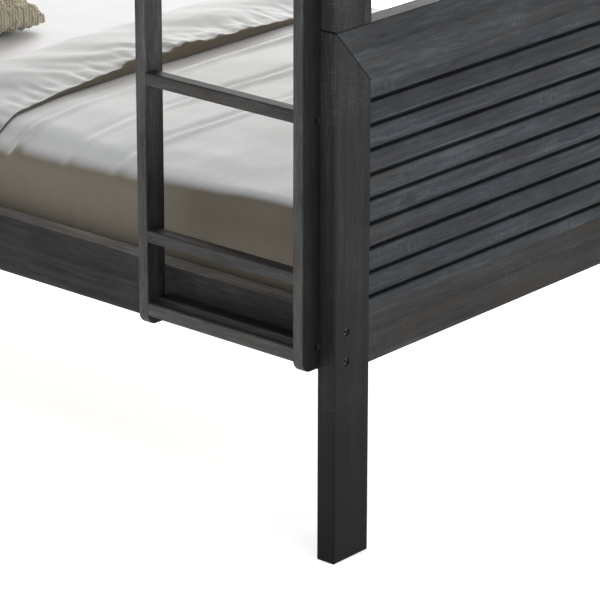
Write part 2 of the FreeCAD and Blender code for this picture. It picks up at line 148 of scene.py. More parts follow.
@dataclass(frozen=True)
class WeatheredWood:
    """Sawn softwood, stained charcoal, brushed back and sealed with a matt lacquer."""
    name: str
    grain: Grain
    deep: str = "#1b1c1d"
    body: str = "#303131"
    worn: str = "#4a4b4b"
    warm: str = "#37312a"
    warm_share: float = 0.5
    # Painted light and shade: how bright each face is by which way it faces, and how it darkens towards the
    # foot.
    end_tone: float = 1.0
    side_tone: float = 1.0
    top_tone: float = 1.0
    saw_mark: str = "#202427"
    foot_tones: tuple[float, float] = (1.0, 1.0)
    tone_height: float = 0.8
    tone_from: float = 0.0
    board_pitch: float = 0.0
    seed: float = 0.0
    channel_x: float = 0.0
    mitre: tuple[float, float, float, float] | None = None
    fibre_width: float = 1.7 * MM
    fibre_length: float = 36 * MM
    saw_pitch: float = 3.2 * MM
    figure_width: float = 17 * MM
    figure_length: float = 420 * MM
    saw_width: float = 16 * MM
    saw_tilt: float = 0.10
    bunch: float = 95 * MM
    waver: float = 140 * MM
    waver_depth: float = 9 * MM
    blotch_scale: float = 0.16
    knot_spacing: float = 260 * MM

    def material(self) -> Material:
        """Build the node material.

        Returns:
            A material that reads Object coordinates only.
        """
        material, add, place = fresh_material(self.name)
        split = add("SeparateXYZ", links={0: place}).outputs
        along, across, through = (split[i] for i in self.grain.value)
        tone_step: NodeSocket | None = None
        if self.board_pitch:
            count = add("Math", {"operation": "DIVIDE", 1: self.board_pitch}, {0: through})
            index = add("Math", {"operation": "FLOOR"}, {0: count})
            tone_step = add("TexWhiteNoise", {"noise_dimensions": "1D"}, {"W": index}).outputs["Value"]
            shift = add("Math", {"operation": "MULTIPLY", 1: BOARD_SHIFT}, {0: tone_step})
            along = add("Math", {"operation": "ADD"}, {0: along, 1: shift})
        grain = add("CombineXYZ", links={0: along, 1: across, 2: through})
        # A slow waver bends the fibres round where branches were.
        waver = add("TexNoise", {"Scale": 1 / self.waver, "Detail": 2.0}, {"Vector": grain})
        bend = add("VectorMath", {"operation": "MULTIPLY_ADD", 1: (0.0, self.waver_depth, self.waver_depth)},
                   {0: waver.outputs["Color"], 2: grain})
        # Real fibres are finer than these, which are drawn wide enough to show.
        fibre_scale = (1 / self.fibre_length, 1 / self.fibre_width, 1 / self.fibre_width)
        fibre_map = add("Mapping", {"Scale": fibre_scale, "Location": (self.seed, self.seed * 1.7, 0.0)},
                        {"Vector": bend})
        fibre = add("TexNoise", {"Scale": 1.0, "Detail": 3.0, "Roughness": 0.62}, {"Vector": fibre_map})
        figure_scale = (1 / self.figure_length, 1 / self.figure_width, 1 / self.figure_width)
        figure_map = add("Mapping", {"Scale": figure_scale, "Location": (self.seed * 2.3, 0.0, self.seed)},
                         {"Vector": bend})
        figure = add("TexNoise", {"Scale": 1.0, "Detail": 2.0, "Distortion": 0.6}, {"Vector": figure_map})
        # Saw marks cross the grain in bunches, where the blade chattered.
        saw_scale = (1 / self.saw_pitch, 1 / self.saw_width, 1 / self.saw_width)
        saw_map = add("Mapping", {"Scale": saw_scale, "Rotation": (0.0, 0.0, self.saw_tilt)},
                      {"Vector": grain})
        saw = add("TexNoise", {"Scale": 1.0, "Detail": 1.0}, {"Vector": saw_map})
        bunch = add("TexNoise", {"Scale": 1 / self.bunch, "Detail": 2.0}, {"Vector": grain})
        saw_where = add("MapRange", {"From Min": 0.50, "From Max": 0.68}, {0: bunch})
        saw_line = add("MapRange", {"From Min": 0.54, "From Max": 0.66}, {0: saw})
        saw_mark = add("Math", {"operation": "MULTIPLY"}, {0: saw_where, 1: saw_line})
        # Knots lie a hand's breadth or more apart, with dark hearts.
        knot_map = add("Mapping",
                       {"Scale": (0.55 / self.knot_spacing, 1 / self.knot_spacing, 1 / self.knot_spacing),
                        "Location": (self.seed, 0.3, self.seed * 0.4)}, {"Vector": bend})
        cell = add("TexVoronoi", {"Scale": 1.0}, {"Vector": knot_map})
        knot = add("MapRange", {"From Min": 0.02, "From Max": 0.065, "To Min": 0.45, "To Max": 0.0},
                   {0: cell.outputs["Distance"]})
        blotch = add("TexNoise", {"Scale": self.blotch_scale, "Detail": 3.0}, {"Vector": fibre_map})
        # Stain sits deepest in the soft early wood and thins on the hard late wood.
        broad = add("Mix", {"data_type": "FLOAT", 0: 0.35}, {2: figure, 3: bunch})
        mixed = add("Mix", {"data_type": "FLOAT", 0: 0.46}, {2: broad, 3: fibre})
        stain = add("ValToRGB",
                    {"stops": [(0.36, self.deep), (0.50, self.body), (0.65, self.worn)]}, {0: mixed})
        warm_where = add("MapRange",
                         {"From Min": 0.42, "From Max": 0.66, "To Max": self.warm_share}, {0: blotch})
        warmed = add("Mix", {"data_type": "RGBA", 7: linear(self.warm)}, {0: warm_where, 6: stain})
        sawn = add("Mix", {"data_type": "RGBA", "blend_type": "SCREEN", 7: linear(self.saw_mark)},
                   {0: saw_mark, 6: warmed.outputs[2]})
        knotted = add("Mix", {"data_type": "RGBA", "blend_type": "MULTIPLY", 7: linear("#55504c")},
                      {0: knot, 6: sawn.outputs[2]})
        tone = self._tone(add, split, tone_step)
        toned = add("VectorMath", {"operation": "SCALE"}, {0: knotted.outputs[2], "Scale": tone})
        rough = add("MapRange", {"To Min": 0.50, "To Max": 0.74}, {0: fibre})
        relief = add("Math", {"operation": "MULTIPLY_ADD", 1: 0.5}, {0: saw_mark, 2: mixed})
        bump = add("Bump", {"Strength": 0.55, "Distance": 0.7 * MM}, {"Height": relief})
        shader = add("BsdfPrincipled", {"IOR": 1.48, "Specular IOR Level": 0.16},
                     {"Base Color": toned, "Roughness": rough, "Normal": bump})
        add("OutputMaterial", links={0: shader})
        return material

    def _tone(self, add: Adder, split: Any, step: NodeSocket | None) -> Source:
        """Work out the painted light and shade: a brightness for each face by which way it faces, darkening
        towards the foot.

        Args:
            add: Adds a node to the material.
            split: The outputs that give the place's x, y and height.
            step: A random number for each board, or nothing.

        Returns:
            The factor for the colour.
        """
        # Painted light and shade: each face takes its own brightness by which way it faces, darker towards the
        # foot below the given height.
        face = add("NewGeometry").outputs["Normal"]
        away = add("VectorMath", {"operation": "MULTIPLY"}, {0: face, 1: face})
        fades = [add("MapRange", {"From Min": self.tone_from, "From Max": self.tone_height,
                                                  "To Min": full * foot, "To Max": full}, {0: split[2]})
                 for full, foot in zip((self.end_tone, self.side_tone), self.foot_tones)]
        weights = add("CombineXYZ", {2: self.top_tone}, {0: fades[0], 1: fades[1]})
        tone = add("VectorMath", {"operation": "DOT_PRODUCT"}, {0: away, 1: weights}).outputs["Value"]
        if self.mitre is not None:
            tone = self._mitred(add, split, tone)
        if self.channel_x:
            # Painted shade darkens the channels between the boards.
            depth = add("Math", {"operation": "ABSOLUTE"}, {0: split[0]})
            bottom, mouth = self.channel_x - 6 * MM, self.channel_x - 1 * MM
            pooled = add("MapRange", {"From Min": bottom, "From Max": mouth, "To Min": 0.5}, {0: depth})
            tone = add("Math", {"operation": "MULTIPLY"}, {0: tone, 1: pooled})
        if step is not None:
            spread = add("MapRange", {"To Min": 0.86, "To Max": 1.12}, {0: step})
            tone = add("Math", {"operation": "MULTIPLY"}, {0: tone, 1: spread})
        return tone

    def _mitred(self, add: Adder, split: Any, tone: Source) -> Source:
        """Darken the eased edges of the mitre, where stain gathers.

        Args:
            add: Adds a node to the material.
            split: The outputs that give the place's x, y and height.
            tone: The factor so far.

        Returns:
            The factor with the mitre line in it.
        """
        top, middle, half, slope = self.mitre
        aside = add("Math", {"operation": "SUBTRACT", 1: middle}, {0: split[1]})
        aside = add("Math", {"operation": "ABSOLUTE"}, {0: aside})
        edge = add("Math", {"operation": "MULTIPLY_ADD", 1: slope, 2: top - slope * half}, {0: aside})
        gap = add("Math", {"operation": "SUBTRACT"}, {0: edge, 1: split[2]})
        gap = add("Math", {"operation": "ABSOLUTE"}, {0: gap})
        line = add("MapRange", {"From Min": 1.2 * MM, "From Max": 2.6 * MM, "To Min": 0.3}, {0: gap})
        return add("Math", {"operation": "MULTIPLY"}, {0: tone, 1: line})


@dataclass(frozen=True)
class PlainWood:
    """Pale wood, planed or turned and left bare: yellow late wood in fine straight lines."""
    name: str
    early: str
    late: str
    grain: Grain
    ring_width: float = 6 * MM

    def material(self) -> Material:
        """Build the node material.

        Returns:
            A material that reads Object coordinates only.
        """
        material, add, place = fresh_material(self.name)
        split = add("SeparateXYZ", links={0: place}).outputs
        along, across, through = (split[i] for i in self.grain.value)
        grain = add("CombineXYZ", links={0: along, 1: across, 2: through})
        scale = (1 / (300 * MM), 1 / self.ring_width, 1 / self.ring_width)
        stretch = add("Mapping", {"Scale": scale}, {"Vector": grain})
        rings = add("TexNoise", {"Scale": 1.0, "Detail": 3.0, "Distortion": 0.4}, {"Vector": stretch})
        colour = add("ValToRGB", {"stops": [(0.35, self.early), (0.65, self.late)]}, {0: rings})
        bump = add("Bump", {"Strength": 0.3, "Distance": 0.3 * MM}, {"Height": rings})
        shader = add("BsdfPrincipled", {"IOR": 1.5, "Roughness": 0.55, "Specular IOR Level": 0.4},
                     {"Base Color": colour, "Normal": bump})
        add("OutputMaterial", links={0: shader})
        return material


@dataclass(frozen=True)
class Metal:
    """Steel hardware: bright zinc plate with fine spangle, or black powder coat with orange peel."""
    name: str
    low: str
    high: str
    metallic: float
    roughness: float
    speck: float = 2.5 * MM

    def material(self) -> Material:
        """Build the node material.

        Returns:
            A material that reads Object coordinates only.
        """
        material, add, place = fresh_material(self.name)
        speck = add("TexNoise", {"Scale": 1 / self.speck, "Detail": 4.0}, {"Vector": place})
        colour = add("ValToRGB", {"stops": [(0.35, self.low), (0.65, self.high)]}, {0: speck})
        rough = add("MapRange", {"To Min": self.roughness - 0.08, "To Max": self.roughness + 0.12},
                    {0: speck})
        bump = add("Bump", {"Strength": 0.25, "Distance": 0.15 * MM}, {"Height": speck})
        shader = add("BsdfPrincipled", {"Metallic": self.metallic},
                     {"Base Color": colour, "Roughness": rough, "Normal": bump})
        add("OutputMaterial", links={0: shader})
        return material


@dataclass(frozen=True)
class WovenCotton:
    """Woven cotton, plain or sateen: soft sheen, a fine square thread pattern and slubs."""
    name: str
    # crown and drop are painted light and shade: the colour of what faces up and of what hangs.
    crown: str
    drop: str
    thread: float = 2.4 * MM
    sheen: float = 0.25
    mottle: float = 0.06
    crease: float = 45 * MM
    crease_depth: float = 1.2 * MM

    def material(self) -> Material:
        """Build the node material. What faces up takes the crown colour, a painted light, and what hangs takes
        the drop colour, a painted shade.

        Returns:
            A material that reads Object coordinates only.
        """
        material, add, place = fresh_material(self.name)
        # Real threads lie closer together than these, which are drawn coarse enough to show.
        wave_settings = {"wave_type": "BANDS", "Scale": 1 / self.thread / WAVE_TURN, "Distortion": 1.2,
                         "Detail": 2.0, "Detail Scale": 1.5}
        warp = add("TexWave", {"bands_direction": "X", **wave_settings}, {"Vector": place})
        weft = add("TexWave", {"bands_direction": "Y", **wave_settings}, {"Vector": place})
        hang = add("TexWave", {"bands_direction": "Z", **wave_settings}, {"Vector": place})
        face = add("NewGeometry").outputs["Normal"]
        turn = add("SeparateXYZ", links={0: face}).outputs[2]
        weave = add("Mix", {"data_type": "FLOAT"}, {0: add("Math", {"operation": "ABSOLUTE"}, {0: turn}),
                     2: hang.outputs["Fac"], 3: weft.outputs["Fac"]})
        threads = add("Math", {"operation": "ADD"}, {0: warp.outputs["Fac"], 1: weave})
        slub_map = add("Mapping", {"Scale": (1.0, 0.12, 0.5)}, {"Vector": place})
        slub = add("TexNoise", {"Scale": 1 / (9 * MM), "Detail": 3.0}, {"Vector": slub_map})
        cloud = add("TexNoise", {"Scale": 1 / (160 * MM), "Detail": 3.0}, {"Vector": place})
        # Painted light and shade: up-facing cloth takes the light crown colour, hanging cloth the darker drop
        # colour.
        rise = add("MapRange", {"interpolation_type": "SMOOTHSTEP", "From Min": 0.60, "From Max": 0.985},
                   {0: turn})
        colour = add("Mix", {"data_type": "RGBA", 6: linear(self.drop), 7: linear(self.crown)},
                     {0: rise}).outputs[2]
        shade = add("Math", {"operation": "MULTIPLY_ADD", 1: 0.5}, {0: slub, 2: cloud})
        spread = add("MapRange", {"From Min": 0.45, "From Max": 1.05, "To Min": 1 - self.mottle,
                                  "To Max": 1 + self.mottle}, {0: shade})
        tinted = add("VectorMath", {"operation": "SCALE"}, {0: colour, "Scale": spread})
        rumple = add("TexNoise", {"Scale": 1 / self.crease, "Detail": 3.0, "Distortion": 0.8},
                     {"Vector": place})
        soft = add("Bump", {"Strength": 0.5, "Distance": self.crease_depth}, {"Height": rumple})
        fine = add("Bump", {"Strength": 0.35, "Distance": 0.25 * MM}, {"Height": threads, "Normal": soft})
        shader = add("BsdfPrincipled",
                     {"Roughness": 0.82, "Specular IOR Level": 0.2, "Sheen Weight": self.sheen,
                      "Sheen Roughness": 0.45, "Sheen Tint": linear("#f2efe9")},
                     {"Base Color": tinted, "Normal": fine})
        add("OutputMaterial", links={0: shader})
        return material


@dataclass(frozen=True)
class KnittedWool:
    """Chunky hand-knitted wool and cotton yarn: V-shaped stitches in columns, fuzzy, with painted shade in the
    gaps.
    """
    name: str
    yarn: str
    gap: str
    stitch: float = 7 * MM

    def material(self) -> Material:
        """Build the node material.

        Returns:
            A material that reads Object coordinates only.
        """
        material, add, place = fresh_material(self.name)
        split = add("SeparateXYZ", links={0: place}).outputs
        # Each column of stitches is a zigzag: the rows lean one way and then the other.
        column = add("Math", {"operation": "PINGPONG", 1: self.stitch}, {0: split[0]})
        row = add("Math", {"operation": "MULTIPLY_ADD", 1: 0.9}, {0: column, 2: split[1]})
        ply = add("Math", {"operation": "PINGPONG", 1: self.stitch * 0.5}, {0: row})
        depth = add("MapRange", {"From Max": self.stitch * 0.5, "interpolation_type": "SMOOTHSTEP"}, {0: ply})
        fuzz = add("TexNoise", {"Scale": 1 / (2 * MM), "Detail": 4.0}, {"Vector": place})
        # The gap colour is painted shade in the hollows between the stitches.
        colour = add("Mix", {"data_type": "RGBA", 6: linear(self.gap), 7: linear(self.yarn)},
                     {0: depth}).outputs[2]
        spread = add("MapRange", {"To Min": 0.82, "To Max": 1.15}, {0: fuzz})
        tinted = add("VectorMath", {"operation": "SCALE"}, {0: colour, "Scale": spread})
        height = add("Math", {"operation": "MULTIPLY_ADD", 1: 0.2}, {0: fuzz, 2: depth})
        bump = add("Bump", {"Strength": 0.8, "Distance": 2 * MM}, {"Height": height})
        shader = add("BsdfPrincipled", {"Roughness": 0.95, "Specular IOR Level": 0.1, "Sheen Weight": 0.4,
                                        "Sheen Roughness": 0.6}, {"Base Color": tinted, "Normal": bump})
        add("OutputMaterial", links={0: shader})
        return material


# ---------------------------------------------------------------- mesh helpers

def finish_piece(bm: BMesh, name: str, subdivision: int = 0) -> Object:
    """Turn a bmesh into a smooth-shaded object at the origin.

    Args:
        bm: The mesh, in the row frame. It is freed.
        name: The piece's name.
        subdivision: Levels of a live Subdivision Surface.

    Returns:
        The new object.
    """
    bmesh.ops.recalc_face_normals(bm, faces=bm.faces[:])
    mesh = bpy.data.meshes.new(name)
    bm.to_mesh(mesh)
    bm.free()
    mesh.polygons.foreach_set("use_smooth", [True] * len(mesh.polygons))
    piece = bpy.data.objects.new(name, mesh)
    bpy.context.scene.collection.objects.link(piece)
    if subdivision:
        smoother = piece.modifiers.new("smooth", "SUBSURF")
        smoother.levels = smoother.render_levels = subdivision
    return piece


def soft_block(low: Vector, high: Vector, rounding: float, cells: tuple[int, int, int],
               segments: int = 4) -> BMesh:
    """Make a box with bevelled edges, cut into an even grid.

    Args:
        low: Lowest corner.
        high: Highest corner.
        rounding: Radius of the bevel.
        cells: Number of cuts across each axis.
        segments: Segments of the bevel.

    Returns:
        The bmesh.
    """
    bm = bmesh.new()
    bmesh.ops.create_cube(bm, size=1.0)
    bmesh.ops.scale(bm, vec=high - low, verts=bm.verts)
    bmesh.ops.translate(bm, vec=(low + high) / 2, verts=bm.verts)
    bmesh.ops.bevel(bm, geom=bm.edges[:], offset=rounding, offset_type="OFFSET", affect="EDGES",
                    segments=segments, profile=0.5, material=-1, clamp_overlap=True)
    for axis in range(3):
        normal = Vector([float(i == axis) for i in range(3)])
        start, stop = low[axis] + rounding, high[axis] - rounding
        for step in range(1, cells[axis]):
            middle = (low + high) / 2
            middle[axis] = start + (stop - start) * step / cells[axis]
            bmesh.ops.bisect_plane(bm, geom=bm.verts[:] + bm.edges[:] + bm.faces[:], dist=1e-6,
                                   plane_co=middle, plane_no=normal)
    return bm


CLOTH_FRAMES = 20


def reshape(bm: BMesh, place: Place) -> None:
    """Move every vertex to where a rule puts it."""
    for vertex in bm.verts:
        vertex.co = place(vertex.co.copy())


def ramp(value: float, low: float, high: float) -> float:
    """Smooth step from 0 at low to 1 at high."""
    t = min(1.0, max(0.0, (value - low) / (high - low)))
    return t * t * (3 - 2 * t)


def ripple(point: Vector, size: tuple[float, float, float], seed: float) -> float:
    """Smooth noise from -1 to 1, stretched to a size in metres on each axis."""
    x, y, z = (c / s for c, s in zip(point, size))
    return noise.noise(Vector((x + seed, y - seed, z + 2 * seed)))


def wrinkles(point: Vector, table: Wrinkles, seed: float) -> float:
    """Add up ripples, each given by its depth, its size on each axis and its step of the seed."""
    return sum(depth * ripple(point, size, seed + step) for depth, size, step in table)


def inflate(piece: Object, voxel: float, pressure: float, cap: float, low: Vector, high: Vector) -> None:
    """Blow a closed cloth shell up a little, so that it takes the wrinkles of a filled cover.

    Args:
        piece: The closed piece, changed in place.
        voxel: Size of the remeshed cells.
        pressure: The pressure inside.
        cap: The most that a point may move.
        low: Lowest corner that the filled cover may reach.
        high: Highest corner that it may reach.
    """
    bpy.context.view_layer.objects.active = piece
    remesh = piece.modifiers.new("remesh", "REMESH")
    remesh.mode = "VOXEL"
    remesh.voxel_size = voxel
    bpy.ops.object.modifier_apply(modifier="remesh")
    rest = [v.co.copy() for v in piece.data.vertices]
    cloth = piece.modifiers.new("fill", "CLOTH")
    cloth.settings.quality = 5
    cloth.settings.use_pressure = True
    cloth.settings.uniform_pressure_force = pressure
    cloth.settings.effector_weights.gravity = 0.0
    cloth.settings.tension_stiffness = 12.0
    cloth.settings.bending_stiffness = 0.4
    cloth.settings.shrink_min = -0.05
    scene = bpy.context.scene
    for number in range(1, CLOTH_FRAMES + 1):
        scene.frame_set(number)
    bpy.ops.object.modifier_apply(modifier="fill")
    scene.frame_set(1)
    for vertex, start in zip(piece.data.vertices, rest):
        move = vertex.co - start
        if move.length > cap:
            vertex.co = start + move * (cap / move.length)
    for vertex in piece.data.vertices:
        vertex.co = Vector([min(max(c, a), b) for c, a, b in zip(vertex.co, low, high)])
    piece.data.polygons.foreach_set("use_smooth", [True] * len(piece.data.polygons))


# ---------------------------------------------------------------- the wooden bed

ZINC = Metal("zinc_plated_steel", "#45494b", "#63676a", 1.0, 0.5)
POWDER = Metal("black_powder_coat", "#151617", "#222325", 0.0, 0.48)
PINE = PlainWood("planed_bare_pine", "#d9b98b", "#b98c58", Grain.ACROSS_BED, 9 * MM)
LEDGE_PINE = PlainWood("planed_bare_pine_ledges", "#d9b98b", "#b98c58", Grain.ALONG_BED, 9 * MM)
FAINT_SAW_MARK = "#0c0d0e"
BEECH = PlainWood("turned_beech", "#d8b48c", "#c79b6e", Grain.ACROSS_BED, 3 * MM)


@dataclass
class EndFrames:
    """The four framed end panels: posts, rails and boards, dressed along their own grain."""
    bunks: tuple[str, str] = ("lower", "upper")
    ends: tuple[str, str] = ("foot", "head")
    board_pitch: float = 38.85 * MM
    face_x: float = 0.995

    def dress(self, nodes: dict[str, Object]) -> None:
        """Give every post, rail and board its wood.

        Args:
            nodes: The CAD nodes by name.
        """
        for number, bunk in enumerate(self.bunks):
            seed = 3.1 * number
            low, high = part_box(f"{bunk}_foot_post_front")
            rail_low, rail_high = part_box(f"{bunk}_foot_top_rail")
            middle = (rail_low.y + rail_high.y) / 2
            slope = (rail_high.z - rail_low.z) / (high.y - low.y)
            mitre = (rail_high.z, middle, middle - low.y, slope)
            # The face and foot settings below paint light and shade on each face and darken the feet.
            post = WeatheredWood(f"stained_pine_{bunk}_posts", Grain.UPRIGHT, end_tone=0.69, side_tone=1.10,
                                 foot_tones=(0.15, 0.0), seed=seed, mitre=mitre)
            rail = WeatheredWood(f"stained_pine_{bunk}_end_rails", Grain.ACROSS_BED, body="#2f3336",
                                 worn="#484c4f", end_tone=1.08, side_tone=0.6, seed=seed + 1.0, mitre=mitre)
            low_rail = WeatheredWood(f"stained_pine_{bunk}_bottom_rails", Grain.ACROSS_BED, warm_share=0.9,
                                     end_tone=0.8, side_tone=0.6, seed=seed + 2.0)
            board = WeatheredWood(f"stained_pine_{bunk}_boards", Grain.ACROSS_BED, body="#2d3338",
                                  worn="#464c50", end_tone=1.06, seed=seed + 4.0,
                                  board_pitch=self.board_pitch, figure_width=13 * MM, channel_x=self.face_x)
            posts, rails, low_rails, boards = (f.material() for f in (post, rail, low_rail, board))
            for end in self.ends:
                for side in ("front", "rear"):
                    dress(nodes[f"{bunk}_{end}_post_{side}"], posts)
                dress(nodes[f"{bunk}_{end}_top_rail"], rails)
                dress(nodes[f"{bunk}_{end}_bottom_rail"], low_rails)
                dress(nodes[f"{bunk}_{end}_boards"], boards)
                log.info("dressed the %s bunk's %s frame", bunk, end)


@dataclass
class Sides:
    """Side rails, slats, ledges and guard rails."""
    bunks: tuple[str, str] = ("lower", "upper")

    def dress(self, nodes: dict[str, Object]) -> None:
        """Give the long pieces their wood.

        Args:
            nodes: The CAD nodes by name.
        """
        # The face settings below paint a lit top face and shaded sides on the side rails.
        rail = WeatheredWood("stained_pine_side_rails", Grain.ALONG_BED, body="#302f2f", warm="#3b342d",
                             saw_mark=FAINT_SAW_MARK, side_tone=0.75, top_tone=4.0, seed=7.0).material()
        guard = WeatheredWood("stained_pine_guards", Grain.ALONG_BED, seed=9.0).material()
        upright = WeatheredWood("stained_pine_guard_uprights", Grain.UPRIGHT, seed=11.0).material()
        pine, ledge = PINE.material(), LEDGE_PINE.material()
        for bunk in self.bunks:
            for side in ("front", "rear"):
                dress(nodes[f"{bunk}_side_rail_{side}"], rail)
            dress(nodes[f"{bunk}_slats"], pine)
            dress(nodes[f"{bunk}_slat_ledges"], ledge)
            log.info("dressed the %s bunk's side rails and slats", bunk)
        for side in ("front", "rear"):
            for level in ("lower", "upper"):
                dress(nodes[f"guard_{side}_{level}_bar"], guard)
        dress(nodes["guard_uprights"], upright)
        log.info("dressed the guard rails")


@dataclass
class Ladder:
    """The hook-on ladder: rails, rungs, cleats and steel hooks."""
    rungs: tuple[str, ...] = ("ladder_foot_rung", *(f"ladder_rung_{number}" for number in range(1, 5)))

    def dress(self, nodes: dict[str, Object]) -> None:
        """Give the ladder its wood and steel.

        Args:
            nodes: The CAD nodes by name.
        """
        # The face and foot settings of the rails and rungs below paint light and shade on each face and darken
        # them lower down.
        left = WeatheredWood("stained_pine_left_ladder_rail", Grain.UPRIGHT, saw_mark=FAINT_SAW_MARK,
                             end_tone=4.9, side_tone=2.05, foot_tones=(0.14, 1.0), tone_height=1.05,
                             tone_from=0.55, seed=13.0)
        right = WeatheredWood("stained_pine_right_ladder_rail", Grain.UPRIGHT, saw_mark=FAINT_SAW_MARK,
                              end_tone=0.34, side_tone=1.85, foot_tones=(0.4, 0.9), seed=14.0)
        rung = WeatheredWood("stained_pine_rungs", Grain.ALONG_BED, saw_mark=FAINT_SAW_MARK, warm_share=0.8,
                             side_tone=1.6, top_tone=0.45, seed=15.0).material()
        dress(nodes["ladder_rail_left"], left.material())
        dress(nodes["ladder_rail_right"], right.material())
        for name in (*self.rungs, "ladder_lower_cleat", "ladder_upper_cleat"):
            dress(nodes[name], rung)
        dress(nodes["ladder_hooks"], POWDER.material())
        log.info("dressed the ladder")


@dataclass
class Hardware:
    """Bolts, barrel nuts, screws and dowels."""
    steel: tuple[str, ...] = ("lower_rail_bolts", "upper_rail_bolts", "lower_barrel_nuts",
                              "upper_barrel_nuts", "guard_screws", "ladder_hook_screws")
    dowels: tuple[str, ...] = ("lower_frame_dowels", "upper_frame_dowels", "seam_dowels")

    def dress(self, nodes: dict[str, Object]) -> None:
        """Give the small parts their finish.

        Args:
            nodes: The CAD nodes by name.
        """
        zinc, beech = ZINC.material(), BEECH.material()
        for name in self.steel:
            dress(nodes[name], zinc)
        for name in self.dowels:
            dress(nodes[name], beech)
        log.info("dressed the bolts, nuts, screws and dowels")


# ---------------------------------------------------------------- the bedding

# Each cotton's first colour is its painted light, for what faces up, and its second its painted shade, for
# what hangs.
SHEET_COTTON = WovenCotton("percale_sheet_cotton", "#e0e4ea", "#d3d6da", crease=120 * MM,
                           crease_depth=1.5 * MM)
DUVET_COTTON = WovenCotton("sateen_duvet_cotton", "#c9ced1", "#6b6457", sheen=0.3, crease=60 * MM)
PILLOW_COTTON = WovenCotton("percale_pillow_cotton", "#f1f2f3", "#dcdddd", crease=50 * MM)
# The knit's second colour is painted shade in the gaps between stitches.
KNIT = KnittedWool("cable_knit_wool", "#dcd8c3", "#a19b84")


@dataclass(frozen=True)
class Slump:
    """How a soft, worn front edge has sunk towards the head end: a hollow, a sag and a worn shoulder."""
    hollow: float = 10 * MM
    hollow_x: float = 0.58
    hollow_width: float = 0.16
    sag: float = 14 * MM
    shoulder: float = 30 * MM
    reach: float = 50 * MM
    worn_reach: float = 30 * MM

    def drop(self, point: Vector, front_y: float, height: float) -> float:
        """Give the drop at a point.

        Args:
            point: A point on the surface.
            front_y: Where the piece's front face is.
            height: From 0 at the bottom of the soft edge to 1 at its top.

        Returns:
            The drop in metres.
        """
        inward = point.y - front_y
        hollow = self.hollow * math.exp(-((point.x - self.hollow_x) / self.hollow_width) ** 2)
        sag = self.sag * (1 - ramp(point.x, 0.25, 0.75))
        shoulder = self.shoulder * (1 - ramp(point.x, 0.20, 0.80))
        down = hollow * (1 - ramp(inward, 0.01, 0.12)) + sag * (1 - ramp(inward, 0.0, 0.20))
        reach = self.reach + self.worn_reach * (1 - ramp(point.x, 0.30, 0.60))
        return (down + shoulder * (1 - ramp(inward, 0.0, reach))) * height


SLUMP = Slump()


